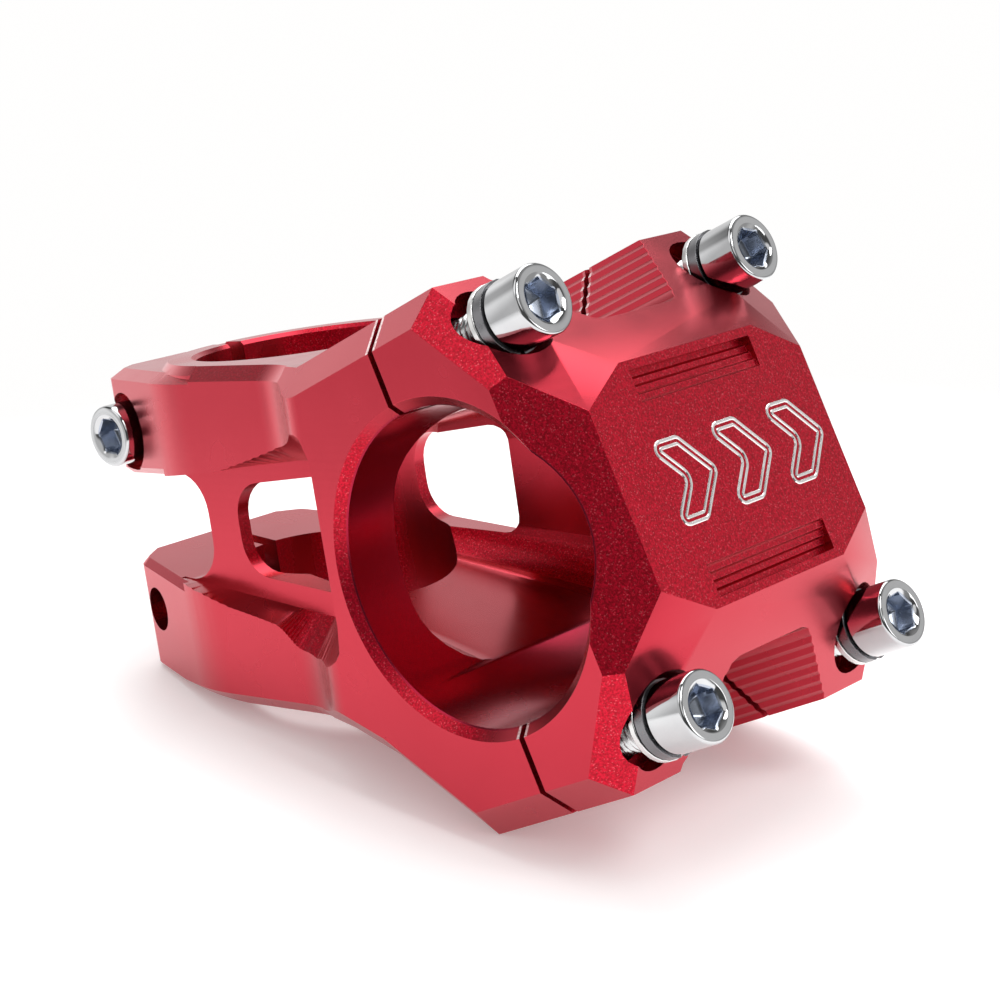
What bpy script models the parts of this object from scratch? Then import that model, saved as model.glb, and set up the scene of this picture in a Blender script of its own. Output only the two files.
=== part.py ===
"""Short direct-mount style handlebar stem: body, faceplate, six M5 bolts and their washers.

The stem is drawn about the steerer axis: X runs forwards to the handlebar, Y to the rider's left and Z up
the steerer, with Z = 0 at the top of the steerer clamp. The bar clamp has its own tilted frame, in which x
is the direction of the faceplate bolts, y the bar's axis and z runs up along the split.
"""
import bmesh
import bpy
from math import acos, atan2, cos, pi, radians, sin, sqrt
from mathutils import Matrix, Vector

MM = 0.001
WELD = 0.005 * MM

# Driving dimensions
REACH = 45 * MM                 # steerer axis to bar axis
BAR_RADIUS = 17.5 * MM          # 35 mm handlebar
STEERER_RADIUS = 14.3 * MM      # 28.6 mm steerer tube
STACK = 42 * MM                 # height of the steerer clamp
BAR_DROP = 21.42 * MM           # bar axis below the top of the steerer clamp
CLAMP_TILT = radians(19)        # faceplate bolts point this much upwards
THREAD_RADIUS = 2.5 * MM        # M5
GAP = 0.3 * MM                  # between pieces that rest on each other

# Bar clamp, in its own frame
CLAMP_HALF_WIDTH = 24 * MM
CLAMP_HALF_HEIGHT = 28.05 * MM
FACE_HALF_HEIGHT = 24.7 * MM    # flat side face, inside the long bevels
TOP_HALF_WIDTH = 20.7 * MM      # flat top and bottom, inside the long bevels
FRONT = 20.56 * MM
FRONT_HALF_HEIGHT = 13.5 * MM
FRONT_HALF_WIDTH = 18.1 * MM
FRONT_CORNER = (9.7 * MM, 11.3 * MM)    # height and width where the front's corners are cut off
BOSS_FRONT = 8.95 * MM          # front edge of the flat top
SIDE_UPPER = (7.1 * MM, 24.7 * MM)      # corners of the side face, forward and up
SIDE_FRONT = (14.4 * MM, 15.35 * MM)
CORNER_MEET = (15.9 * MM, 22.6 * MM, 16.0 * MM)
SPLIT_GAP = 0.8 * MM
BAR_CHAMFER = 1.15 * MM

# Central notches between the bolt bosses
NOTCH_FLOOR = 19.1 * MM
NOTCH_FLOOR_HALF = 6.6 * MM
NOTCH_TOP_HALF = 13.0 * MM
NOTCH_RIDGES = 7
RIDGE_DEPTH = 0.22 * MM

# Ledge grooves across the front face
GROOVE_HALF_LENGTH = 10.2 * MM
GROOVE_NEAR = 8.9 * MM
GROOVE_FAR = 12.5 * MM
GROOVE_DEPTH = 1.3 * MM
GROOVE_STEPS = 4

# Faceplate bolts
BOLT_SPACING = 35.3 * MM
BOLT_ROWS = 43.9 * MM
BOLT_HOLE_RADIUS = 2.85 * MM
BOLT_HOLE_END = -10.5 * MM
COUNTERBORE_RADIUS = 4.55 * MM
FACEPLATE_SEAT = 7.0 * MM
FACEPLATE_HEAD_FACE = 20.36 * MM        # bolts stand backed out, as the stem is sold
FACEPLATE_SHANK = 18 * MM

# Bolt and washer sizes
HEAD_RADIUS = 3.95 * MM
HEAD_HEIGHT = 5.2 * MM
SOCKET_ACROSS = 4 * MM
SOCKET_DEPTH = 2.8 * MM
LOCK_RADIUS = 4.15 * MM
LOCK_THICKNESS = 1.25 * MM
FLAT_RADIUS = 4.25 * MM
FLAT_THICKNESS = 0.75 * MM
WASHER_HOLE = 2.75 * MM
STACK_GAP = 0.12 * MM
ROUND_STEPS = 24

# Steerer clamp, webs and the flare between them and the bar clamp
COLLAR_RADIUS = 17.7 * MM       # flat top of the collar; behind it the lug's top is lower
LUG_DROP = 1.0 * MM
SIDE_BEVEL = 1.6 * MM
LUG_BEVEL_DROP = 0.9 * MM
MOUTH_BEVEL = 0.9 * MM
SIDE_BOW = 0.04 * MM
MOUTH_BEVEL_END = -9.6 * MM
# Height of the mouth's bevelled face at the lug's end, and its rise forwards
MOUTH_FACES = {1: (-14.488 * MM, 0.06343), -1: (-25.097 * MM, -0.13806)}
SIDE_HALF_WIDTH = 19.6 * MM
LUG_END = -25.5 * MM
LUG_SLOPE_X = -1 * MM           # the lower lug's underside rises from here to LUG_HEEL_Z at the rear
LUG_HEEL_Z = -38.6 * MM
SLIT_HALF = 1.1 * MM
PINCH_X = -19.8 * MM
PINCH_UPPER_Z = -8.6 * MM
PINCH_LOWER_Z = -31.9 * MM
PINCH_SEAT = 10.6 * MM
PINCH_SHANK = 22 * MM
WEB_HALF_WIDTH = 16 * MM
UPPER_FLARE_X = 18 * MM         # the side bevels end here, where the bar clamp's own bevels take over
LOWER_FLARE_X = 15.4 * MM
FLARE_EDGES = ((22.6 * MM, -38.9 * MM), (29.6 * MM, -41.4 * MM), (42.45 * MM, -48.4 * MM))

RED = (0.42, 0.02, 0.045, 1.0)
CHROME = (0.62, 0.63, 0.64, 1.0)
DARK_STEEL = (0.12, 0.125, 0.13, 1.0)
BRIGHT_STEEL = (0.7, 0.7, 0.69, 1.0)

STEM = Matrix.Identity(4)
CLAMP = Matrix.Translation((REACH, 0, -BAR_DROP)) @ Matrix.Rotation(-CLAMP_TILT, 4, "Y")
SIDE_VIEW = Matrix.Rotation(pi / 2, 4, "X")      # an outline's x and y become X and Z
TURN_TO_X = Matrix.Rotation(pi / 2, 4, "Y")
TURN_TO_Y = Matrix.Rotation(-pi / 2, 4, "X")


# Scene helpers

def clear_scene():
    for old in list(bpy.data.objects):
        bpy.data.objects.remove(old, do_unlink=True)


def make_collection(name):
    collection = bpy.data.collections.new(name)
    bpy.context.scene.collection.children.link(collection)
    return collection


def make_material(name, colour, roughness, metallic):
    material = bpy.data.materials.new(name)
    material.use_nodes = True
    shader = material.node_tree.nodes["Principled BSDF"]
    shader.inputs["Base Color"].default_value = colour
    shader.inputs["Roughness"].default_value = roughness
    shader.inputs["Metallic"].default_value = metallic
    return material


def add_object(name, mesh, collection, matrix=STEM):
    item = bpy.data.objects.new(name, mesh)
    collection.objects.link(item)
    item.matrix_world = matrix
    return item


def as_cutter(item):
    item.hide_render = True
    item.display_type = "WIRE"
    return item


def smooth(mesh, sharp_angle=radians(25)):
    mesh.shade_smooth()
    mesh.set_sharp_from_angle(angle=sharp_angle)


def boolean(target, other, operation="DIFFERENCE"):
    """Applies one exact Boolean to the target's mesh; the other object stays as a cutter."""
    modifier = target.modifiers.new(other.name, "BOOLEAN")
    modifier.operation = operation
    modifier.solver = "EXACT"
    modifier.object = other
    bake(target)
    weld(target.data, WELD)


def weld(mesh, distance):
    """Merges the stray points that cuts leave close together."""
    shape = bmesh.new()
    shape.from_mesh(mesh)
    bmesh.ops.remove_doubles(shape, verts=shape.verts, dist=distance)
    bmesh.ops.dissolve_degenerate(shape, edges=shape.edges, dist=distance)
    shape.to_mesh(mesh)
    shape.free()


def bake(target):
    """Replaces the target's mesh by its evaluated one, so that its modifiers are applied."""
    bpy.context.view_layer.update()
    evaluated = target.evaluated_get(bpy.context.evaluated_depsgraph_get())
    mesh = bpy.data.meshes.new_from_object(evaluated)
    target.modifiers.clear()
    target.data = mesh


# Solids

def slab(name, outline, low, high, matrix, collection):
    """A flat outline in x and y, filled and given thickness from low to high along z."""
    curve = bpy.data.curves.new(name, "CURVE")
    curve.dimensions = "2D"
    curve.fill_mode = "BOTH"
    curve.extrude = (high - low) / 2
    spline = curve.splines.new("POLY")
    spline.points.add(len(outline) - 1)
    for point, (x, y) in zip(spline.points, outline):
        point.co = (x, y, 0, 1)
    spline.use_cyclic_u = True
    flat = add_object(name, curve, collection, matrix @ Matrix.Translation((0, 0, (low + high) / 2)))
    return curve_to_mesh(flat, collection)


def curve_to_mesh(source, collection):
    bpy.context.view_layer.update()
    evaluated = source.evaluated_get(bpy.context.evaluated_depsgraph_get())
    mesh = bpy.data.meshes.new_from_object(evaluated)
    solid_mesh = bmesh.new()
    solid_mesh.from_mesh(mesh)
    bmesh.ops.remove_doubles(solid_mesh, verts=solid_mesh.verts, dist=0.000001)
    bmesh.ops.dissolve_limit(solid_mesh, angle_limit=0.001, verts=solid_mesh.verts, edges=solid_mesh.edges)
    bmesh.ops.recalc_face_normals(solid_mesh, faces=solid_mesh.faces)
    solid_mesh.to_mesh(mesh)
    solid_mesh.free()
    name = source.name
    placed = source.matrix_world.copy()
    bpy.data.objects.remove(source, do_unlink=True)
    return add_object(name, mesh, collection, placed)


def turned(name, profile, steps, matrix, collection):
    """A solid turned about z. The profile runs down the outer side, as (radius, height) pairs."""
    mesh = bpy.data.meshes.new(name)
    edges = [(i, i + 1) for i in range(len(profile) - 1)]
    mesh.from_pydata([(radius, 0, height) for radius, height in profile], edges, [])
    item = add_object(name, mesh, collection, matrix)
    screw = item.modifiers.new("turn", "SCREW")
    screw.steps = steps
    screw.render_steps = steps
    screw.use_merge_vertices = True
    screw.merge_threshold = 0.000001
    bake(item)
    return item


def ring_profile(inner, outer, low, high):
    return [(inner, high), (outer, high), (outer, low), (inner, low), (inner, high)]


def block(name, low, high, matrix, collection):
    mesh = bpy.data.meshes.new(name)
    shape = bmesh.new()
    bmesh.ops.create_cube(shape, size=1)
    size = Vector(high) - Vector(low)
    middle = (Vector(high) + Vector(low)) / 2
    shape.transform(Matrix.Translation(middle) @ Matrix.Diagonal((*size, 1)))
    shape.to_mesh(mesh)
    shape.free()
    return add_object(name, mesh, collection, matrix)


def cut_plane(item, point, normal):
    """Cuts away what lies beyond a plane given in the item's own frame, and closes the cut."""
    shape = bmesh.new()
    shape.from_mesh(item.data)
    everything = shape.verts[:] + shape.edges[:] + shape.faces[:]
    cut = bmesh.ops.bisect_plane(shape, geom=everything, dist=0.0000001, plane_co=point, plane_no=normal,
                                 clear_outer=True)
    rim = [edge for edge in cut["geom_cut"] if isinstance(edge, bmesh.types.BMEdge)]
    bmesh.ops.edgenet_fill(shape, edges=rim)
    bmesh.ops.recalc_face_normals(shape, faces=shape.faces)
    shape.to_mesh(item.data)
    shape.free()


def plane_through(a, b, c):
    """A point and the normal that points away from the frame's origin."""
    a, b, c = Vector(a), Vector(b), Vector(c)
    normal = (b - a).cross(c - a).normalized()
    if normal.dot(a) < 0:
        normal = -normal
    return a, normal


def rounded(corners):
    """Rounds a polygon given as (x, y, radius, steps) and returns its points."""
    points = []
    for i, (x, y, radius, steps) in enumerate(corners):
        here = Vector((x, y))
        if radius == 0:
            points.append((x, y))
            continue
        back = (Vector(corners[i - 1][:2]) - here).normalized()
        ahead = (Vector(corners[(i + 1) % len(corners)][:2]) - here).normalized()
        half = acos(max(-1, min(1, back.dot(ahead)))) / 2
        bisector = (back + ahead).normalized()
        centre = here + bisector * (radius / sin(half))
        start = here + back * (radius * cos(half) / sin(half)) - centre
        end = here + ahead * (radius * cos(half) / sin(half)) - centre
        first = atan2(start.y, start.x)
        sweep = (atan2(end.y, end.x) - first + pi) % (2 * pi) - pi
        for step in range(steps + 1):
            angle = first + sweep * step / steps
            points.append((centre.x + radius * cos(angle), centre.y + radius * sin(angle)))
    return points


def clamp_block(name, collection):
    """The faceted block of the whole bar clamp, before the split."""
    item = block(name, (-50 * MM, -CLAMP_HALF_WIDTH, -CLAMP_HALF_HEIGHT),
                 (FRONT, CLAMP_HALF_WIDTH, CLAMP_HALF_HEIGHT), CLAMP, collection)
    for up in (-1, 1):
        slope = plane_through((FRONT, 0, up * FRONT_HALF_HEIGHT), (FRONT, 1, up * FRONT_HALF_HEIGHT),
                              (BOSS_FRONT, 0, up * CLAMP_HALF_HEIGHT))
        cut_plane(item, *slope)
    for side in (-1, 1):
        front_corner = (FRONT, side * FRONT_HALF_WIDTH, 0)
        side_front = (SIDE_FRONT[0], side * CLAMP_HALF_WIDTH, 0)
        cut_plane(item, *plane_through(front_corner, side_front, (FRONT, side * FRONT_HALF_WIDTH, 1)))
        for up in (-1, 1):
            face_edge = (0, side * CLAMP_HALF_WIDTH, up * FACE_HALF_HEIGHT)
            top_edge = (0, side * TOP_HALF_WIDTH, up * CLAMP_HALF_HEIGHT)
            cut_plane(item, *plane_through(face_edge, top_edge, (1, top_edge[1], top_edge[2])))
            upper = (SIDE_UPPER[0], side * CLAMP_HALF_WIDTH, up * SIDE_UPPER[1])
            front = (SIDE_FRONT[0], side * CLAMP_HALF_WIDTH, up * SIDE_FRONT[1])
            boss = (BOSS_FRONT, side * TOP_HALF_WIDTH, up * CLAMP_HALF_HEIGHT)
            cut_plane(item, *plane_through(upper, front, boss))
            meet = (CORNER_MEET[0], side * CORNER_MEET[1], up * CORNER_MEET[2])
            low_corner = (FRONT, side * FRONT_HALF_WIDTH, up * FRONT_CORNER[0])
            high_corner = (FRONT, side * FRONT_CORNER[1], up * FRONT_HALF_HEIGHT)
            cut_plane(item, *plane_through(meet, low_corner, high_corner))
    return item


def bar_bore(collection):
    reach = CLAMP_HALF_WIDTH + 2 * MM
    flare = BAR_RADIUS + BAR_CHAMFER + 2 * MM
    profile = [(0, reach), (flare, reach), (BAR_RADIUS, CLAMP_HALF_WIDTH - BAR_CHAMFER),
               (BAR_RADIUS, BAR_CHAMFER - CLAMP_HALF_WIDTH), (flare, -reach), (0, -reach)]
    return as_cutter(turned("bar_bore", profile, 96, CLAMP @ TURN_TO_Y, collection))


def notch_outline():
    """Half of the notch section, from its floor up one ridged wall, in y and z."""
    floor_corner = Vector((NOTCH_FLOOR_HALF, NOTCH_FLOOR))
    top_corner = Vector((NOTCH_TOP_HALF, CLAMP_HALF_HEIGHT))
    along = (top_corner - floor_corner).normalized()
    outwards = Vector((along.y, -along.x))
    start = floor_corner + along * 1.2 * MM
    ridge = (top_corner - start).length / NOTCH_RIDGES
    points = [tuple(floor_corner - Vector((1.0 * MM, 0))), tuple(floor_corner + along * 0.5 * MM)]
    for i in range(NOTCH_RIDGES):
        base = start + along * ridge * i
        points.append(tuple(base))
        points.append(tuple(base + along * ridge * 0.5 + outwards * RIDGE_DEPTH))
    beyond = top_corner + along * 3 * MM
    points.append(tuple(top_corner))
    points.append(tuple(beyond))
    return points


def notch(up, collection):
    """The central channel between two bosses; its floor ramps up and out behind the split."""
    half = notch_outline()
    outline = [(y, up * z) for y, z in half] + [(-y, up * z) for y, z in reversed(half)]
    if up < 0:
        outline.reverse()
    item = slab("notch", outline, -16 * MM, 26 * MM, STEM, collection)
    item.data.transform(item.matrix_world)
    item.data.transform(Matrix(((0, 0, 1, 0), (1, 0, 0, 0), (0, 1, 0, 0), (0, 0, 0, 1))))
    item.matrix_world = CLAMP
    start = Vector((-5 * MM, 0, up * NOTCH_FLOOR))
    end = Vector((-13 * MM, 0, up * CLAMP_HALF_HEIGHT))
    normal = (end - start).cross(Vector((0, 1, 0))).normalized()
    cut_plane(item, start, normal if normal.x < 0 else -normal)
    return as_cutter(item)


def ledge_groove(up, collection):
    """A stepped groove across the front face, deepest on its outer side."""
    outline = [(FRONT + 1 * MM, GROOVE_NEAR), (FRONT, GROOVE_NEAR)]
    step_height = (GROOVE_FAR - GROOVE_NEAR) / GROOVE_STEPS
    for step in range(1, GROOVE_STEPS + 1):
        depth = GROOVE_DEPTH * step / GROOVE_STEPS
        outline.append((FRONT - depth, GROOVE_NEAR + step_height * (step - 0.7)))
        outline.append((FRONT - depth, GROOVE_NEAR + step_height * step))
    outline.append((FRONT + 1 * MM, GROOVE_FAR))
    section = [(x, up * z) for x, z in outline]
    return as_cutter(slab("ledge_groove", section, -GROOVE_HALF_LENGTH, GROOVE_HALF_LENGTH,
                          CLAMP @ SIDE_VIEW, collection))


def bolt_places():
    """Name suffix, side and height sign of each faceplate bolt, seen by the rider."""
    return [(f"{row}_{hand}", side, up) for row, up in (("upper", 1), ("lower", -1))
            for hand, side in (("right", -1), ("left", 1))]


def bolt_frame(side, up):
    """On a faceplate bolt's axis at the split, with z pointing out of the faceplate."""
    return CLAMP @ Matrix.Translation((0, side * BOLT_SPACING / 2, up * BOLT_ROWS / 2)) @ TURN_TO_X


def faceplate_hole(side, up, collection):
    far = 30 * MM
    profile = [(0, far), (COUNTERBORE_RADIUS, far), (COUNTERBORE_RADIUS, FACEPLATE_SEAT),
               (BOLT_HOLE_RADIUS, FACEPLATE_SEAT), (BOLT_HOLE_RADIUS, BOLT_HOLE_END + 1.2 * MM),
               (0, BOLT_HOLE_END)]
    return as_cutter(turned("bolt_hole", profile, 32, bolt_frame(side, up), collection))


# Stem body

def plan_corners():
    """Half of the body seen from above, as corners with their rounding: lug, side, flare, bar clamp."""
    return [(LUG_END, 10.6 * MM, 1.0 * MM, 3), (-23.2 * MM, 14.2 * MM, 2.5 * MM, 3),
            (-6 * MM, 19.4 * MM, 28 * MM, 6), (15.8 * MM, SIDE_HALF_WIDTH, 12 * MM, 8),
            (22 * MM, CLAMP_HALF_WIDTH, 6 * MM, 6), (62 * MM, CLAMP_HALF_WIDTH, 0, 0)]


def closed_plan(corners):
    return rounded(corners + [(x, -y, radius, steps) for x, y, radius, steps in reversed(corners)])


def side_profile():
    """The body from the side, without bevels: steerer clamp, then the bar clamp back to the split."""
    behind = -SPLIT_GAP / 2
    top_back = clamp_point(behind, CLAMP_HALF_HEIGHT)
    bottom_front = clamp_point(behind, -CLAMP_HALF_HEIGHT)
    slope = sin(CLAMP_TILT) / cos(CLAMP_TILT)
    shoulder_x = top_back[0] - top_back[1] / slope
    bevel = CLAMP_HALF_WIDTH - TOP_HALF_WIDTH
    inner = [shifted_edge(FLARE_EDGES[i], FLARE_EDGES[i + 1], bevel) for i in range(2)]
    bottom_slope = (Vector(bottom_front), Vector((cos(CLAMP_TILT), sin(CLAMP_TILT))))
    foot = crossing(inner[1], bottom_slope)
    bend = crossing(inner[0], inner[1])
    heel = crossing(inner[0], (Vector((0, -STACK)), Vector((1, 0))))
    return [(LUG_END - 4 * MM, 0), (shoulder_x, 0), top_back, bottom_front, tuple(foot),
            tuple(bend), tuple(heel), (LUG_SLOPE_X, -STACK), (LUG_END - 4 * MM, LUG_HEEL_Z)]


def clamp_point(x, z):
    """A point of the bar clamp's frame as X and Z of the stem."""
    placed = CLAMP @ Vector((x, 0, z))
    return (placed.x, placed.z)


def shifted_edge(start, end, distance):
    """The line through two points, moved down and square to itself, as a point and a direction."""
    start, end = Vector(start), Vector(end)
    along = (end - start).normalized()
    return start + Vector((along.y, -along.x)) * distance, along


def crossing(first, second):
    """Where two lines meet, each given as a point and a direction."""
    (p, d), (q, e) = first, second
    along = ((q.x - p.x) * e.y - (q.y - p.y) * e.x) / (d.x * e.y - d.y * e.x)
    return p + d * along


def plan_prism(collection):
    return as_cutter(slab("plan_prism", closed_plan(plan_corners()), -75 * MM, 30 * MM, STEM, collection))


def inset(corners, distance):
    """The closed outline of (x, y, radius, steps) corners with every side moved inwards."""
    points = [Vector(corner[:2]) for corner in corners]
    count = len(points)
    area = sum(points[i - 1].cross(points[i]) for i in range(count))
    turn = 1 if area > 0 else -1
    moved = []
    for i, (x, y, radius, steps) in enumerate(corners):
        here = points[i]
        before = (here - points[i - 1]).normalized()
        after = (points[(i + 1) % count] - here).normalized()
        inner = [Vector((-side.y, side.x)) * turn * distance for side in (before, after)]
        place = crossing((here + inner[0], before), (here + inner[1], after))
        convex = before.cross(after) * turn > 0
        new_radius = max(radius - distance, 0.15 * MM) if convex else radius + distance
        moved.append((place.x, place.y, new_radius if radius else 0, steps))
    return moved


def stacked_loft(name, loops, collection):
    """A closed solid through loops with the same number of points."""
    shape = bmesh.new()
    rings = [[shape.verts.new(point) for point in loop] for loop in loops]
    for lower, upper in zip(rings, rings[1:]):
        for i in range(len(lower)):
            j = (i + 1) % len(lower)
            shape.faces.new((lower[i], lower[j], upper[j], upper[i]))
    bmesh.ops.triangulate(shape, faces=shape.faces)
    shape.faces.new(rings[0])
    shape.faces.new(rings[-1])
    bmesh.ops.recalc_face_normals(shape, faces=shape.faces)
    mesh = bpy.data.meshes.new(name)
    shape.to_mesh(mesh)
    shape.free()
    return add_object(name, mesh, collection)


def stacked_plan(name, levels, slope, collection):
    """The steerer clamp's outline, inset by so much at each height; the heights rise forwards by slope."""
    half = plan_corners()
    corners = half + [(x, -y, radius, steps) for x, y, radius, steps in reversed(half)]
    loops = []
    for height, distance in levels:
        outline = rounded(inset(corners, distance))
        loops.append([Vector((x, y, height + slope * (x - LUG_END))) for x, y in outline])
    return as_cutter(stacked_loft(name, loops, collection))


def bevelled_slab(name, top, drop, collection):
    """The steerer clamp's outline as a slab with bevelled edges, the upper bevel falling by drop. It stands
    a little proud of the body's faces, so that only its bevels cut."""
    grow = 0.3 * MM
    reach = SIDE_BEVEL + grow
    rise = drop / SIDE_BEVEL
    levels = ((-STACK - grow, reach), (reach - STACK, -grow), (top - drop - grow * rise, -grow),
              (top + grow * rise, reach))
    return stacked_plan(name, levels, 0, collection)


def bevelled_envelope(collection):
    """What the sides' bevels leave; the bar clamp's block is let through whole."""
    item = bevelled_slab("bevelled_envelope", 0, SIDE_BEVEL, collection)
    middle = -STACK / 2
    outline = [(UPPER_FLARE_X, 40 * MM), (90 * MM, 40 * MM), (90 * MM, -90 * MM), (LOWER_FLARE_X, -90 * MM),
               (LOWER_FLARE_X, middle), (UPPER_FLARE_X, middle)]
    passed = as_cutter(slab("clamp_passed", outline, -40 * MM, 40 * MM, SIDE_VIEW, collection))
    boolean(item, passed, "UNION")
    return item


def lug_top_cut(collection):
    """What is taken off above the upper lug, round the collar, which stays as a low cone."""
    item = block("lug_top_cut", (-40 * MM, -30 * MM, -9 * MM), (-0.5 * MM, 30 * MM, 6 * MM), STEM, collection)
    boolean(item, bevelled_slab("lug_slab", -LUG_DROP, LUG_BEVEL_DROP, collection))
    low = COLLAR_RADIUS + LUG_DROP
    profile = [(0, 1 * MM), (COLLAR_RADIUS - 1 * MM, 1 * MM), (low, -LUG_DROP), (low, -12 * MM), (0, -12 * MM)]
    boolean(item, as_cutter(turned("collar_cone", profile, 72, STEM, collection)))
    return as_cutter(item)


def top_bevel(side, collection):
    """The wedge off one upper long edge of the bar clamp, ending behind in the flare."""
    item = block("top_bevel", (-23.2 * MM, -36 * MM, 15 * MM), (3 * MM, 36 * MM, 36 * MM), CLAMP, collection)
    face_edge = Vector((0, side * CLAMP_HALF_WIDTH, FACE_HALF_HEIGHT))
    top_edge = Vector((0, side * TOP_HALF_WIDTH, CLAMP_HALF_HEIGHT))
    cut_plane(item, face_edge, inwards(face_edge, top_edge, top_edge + Vector((1, 0, 0))))
    return as_cutter(item)


def bottom_bevel(side, collection):
    """The wedge off the lower long edge ahead of the foot."""
    item = block("bottom_bevel", (-14 * MM, -36 * MM, -36 * MM), (3 * MM, 36 * MM, -15 * MM), CLAMP, collection)
    face_edge = Vector((0, side * CLAMP_HALF_WIDTH, -FACE_HALF_HEIGHT))
    top_edge = Vector((0, side * TOP_HALF_WIDTH, -CLAMP_HALF_HEIGHT))
    cut_plane(item, face_edge, inwards(face_edge, top_edge, top_edge + Vector((1, 0, 0))))
    return as_cutter(item)


def flare_bevel(side, collection):
    """The wedge off the lower edge behind the foot, along its two slopes."""
    low, high = (LOWER_FLARE_X, -36 * MM, -75 * MM), (60 * MM, 36 * MM, -28 * MM)
    item = block("flare_bevel", low, high, STEM, collection)
    bevel = CLAMP_HALF_WIDTH - TOP_HALF_WIDTH
    for start, end in zip(FLARE_EDGES, FLARE_EDGES[1:]):
        line, along = shifted_edge(start, end, bevel)
        outer = Vector((start[0], side * CLAMP_HALF_WIDTH, start[1]))
        inner = Vector((line.x, side * TOP_HALF_WIDTH, line.y))
        cut_plane(item, outer, inwards(outer, inner, inner + Vector((along.x, 0, along.y))))
    return as_cutter(item)


def inwards(a, b, c):
    """The normal of a plane through three points, turned towards the middle of the stem (y = 0)."""
    normal = (b - a).cross(c - a).normalized()
    return normal if normal.y * a.y < 0 else -normal


def steerer_bore(collection):
    chamfer = 0.5 * MM
    over = 2 * MM
    wide = STEERER_RADIUS + chamfer + over
    profile = [(0, over), (wide, over), (STEERER_RADIUS, -chamfer), (STEERER_RADIUS, chamfer - STACK),
               (wide, -STACK - over), (0, -STACK - over)]
    return as_cutter(turned("steerer_bore", profile, 80, STEM, collection))


def rear_cut(collection):
    """The open mouth between the upper and lower lugs, with its faces spreading forwards."""
    corners = [(-32 * MM, -14.9 * MM, 0, 0), (-5.2 * MM, -13.2 * MM, 5 * MM, 8),
               (-5.2 * MM, -27.9 * MM, 5 * MM, 8), (-32 * MM, -24.2 * MM, 0, 0)]
    return as_cutter(slab("rear_cut", rounded(corners), -30 * MM, 30 * MM, SIDE_VIEW, collection))


def mouth_bevel(up, collection):
    """What the bevel takes off the outer edge of the mouth's upper or lower face."""
    grow = 0.3 * MM
    lip, slope = MOUTH_FACES[up]
    levels = [(lip - up * grow, MOUTH_BEVEL + grow), (lip + up * (MOUTH_BEVEL + grow), -grow),
              (lip + up * 6 * MM, -grow)]
    kept = stacked_plan("mouth_kept", levels, slope, collection)
    ends = sorted((lip - up * 0.15 * MM, lip + up * 1.6 * MM))
    outline = [(x, z + slope * (x - LUG_END)) for x, z in (
        (-40 * MM, ends[0]), (MOUTH_BEVEL_END, ends[0]), (MOUTH_BEVEL_END, ends[1]), (-40 * MM, ends[1]))]
    item = slab("mouth_bevel", outline, -30 * MM, 30 * MM, SIDE_VIEW, collection)
    boolean(item, kept)
    return as_cutter(item)


def matched(corners):
    """Points round a rounded outline, with the same number from the middle of each corner to the next. The
    sides bow a hair, so that no three points are in line."""
    arc_steps, between = 8, 8
    path = rounded([(x * MM, z * MM, radius * MM, arc_steps) for x, z, radius in corners])
    anchors, count = [], 0
    for _, _, radius in corners:
        anchors.append(count + (arc_steps // 2 if radius else 0))
        count += arc_steps + 1 if radius else 1
    points = []
    for i, start in enumerate(anchors):
        end = anchors[(i + 1) % len(anchors)]
        end = end if end > start else end + count
        run = [Vector(path[k % count]) for k in range(start, end + 1)]
        lengths = [(b - a).length for a, b in zip(run, run[1:])]
        chord = (run[-1] - run[0]).normalized()
        for step in range(between):
            left = sum(lengths) * step / between
            k = 0
            while k < len(lengths) - 1 and left > lengths[k]:
                left -= lengths[k]
                k += 1
            bow = 4 * SIDE_BOW * step / between * (1 - step / between)
            points.append(run[k].lerp(run[k + 1], left / lengths[k]) + bow * Vector((chord.y, -chord.x)))
    return points


def web_recess(side, collection):
    """The sunk side panel, lofted from the web's face out to the flare, where it opens up and down."""
    floor = [(-12, -13.85, 0), (2, -12.7, 10), (13.5, -11.7, 4), (18.6, -11.7, 1.8), (18.6, -29.9, 1.8),
             (15.6, -30.5, 1.5), (12.6, -30.2, 1.5), (9, -29.7, 3), (0, -28.6, 6), (-12, -27.1, 0)]
    mouth = [(-12, -13.2, 0), (2, -12.2, 10), (14.5, -6.8, 5), (24.4, -6.4, 3.5), (24.9, -32.2, 3.5),
             (16.5, -37.6, 2.5), (11.6, -38.2, 2.5), (9, -32.6, 3), (0, -30.2, 6), (-12, -25.4, 0)]
    loops = [[Vector((x, side * reach, z)) for x, z in matched(outline)]
             for outline, reach in ((floor, WEB_HALF_WIDTH), (mouth, CLAMP_HALF_WIDTH))]
    beyond = [b + (b - a) * 0.15 for a, b in zip(*loops)]
    return as_cutter(loft("web_recess", loops[0], beyond, collection))


def window(collection):
    """The hole through both webs."""
    corners = [(0.4 * MM, -15.0 * MM, 4.6 * MM, 7), (18 * MM, -13.4 * MM, 2 * MM, 4),
               (18 * MM, -27.8 * MM, 2 * MM, 4), (0.4 * MM, -25.9 * MM, 4.6 * MM, 7)]
    return as_cutter(slab("window", rounded(corners), -22 * MM, 22 * MM, SIDE_VIEW, collection))


def pocket(collection):
    """The tapered hollow from the bar bore back to the steerer bore."""
    loops = []
    for x, half_width, top, bottom, radius in ((4 * MM, 11.9 * MM, -13.4 * MM, -28.8 * MM, 4 * MM),
                                               (38 * MM, 17.4 * MM, -6.4 * MM, -36.4 * MM, 7 * MM)):
        corners = [(half_width, top, radius, 6), (-half_width, top, radius, 6),
                   (-half_width, bottom, radius, 6), (half_width, bottom, radius, 6)]
        loops.append([Vector((x, y, z)) for y, z in rounded(corners)])
    return as_cutter(loft("pocket", *loops, collection))


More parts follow.
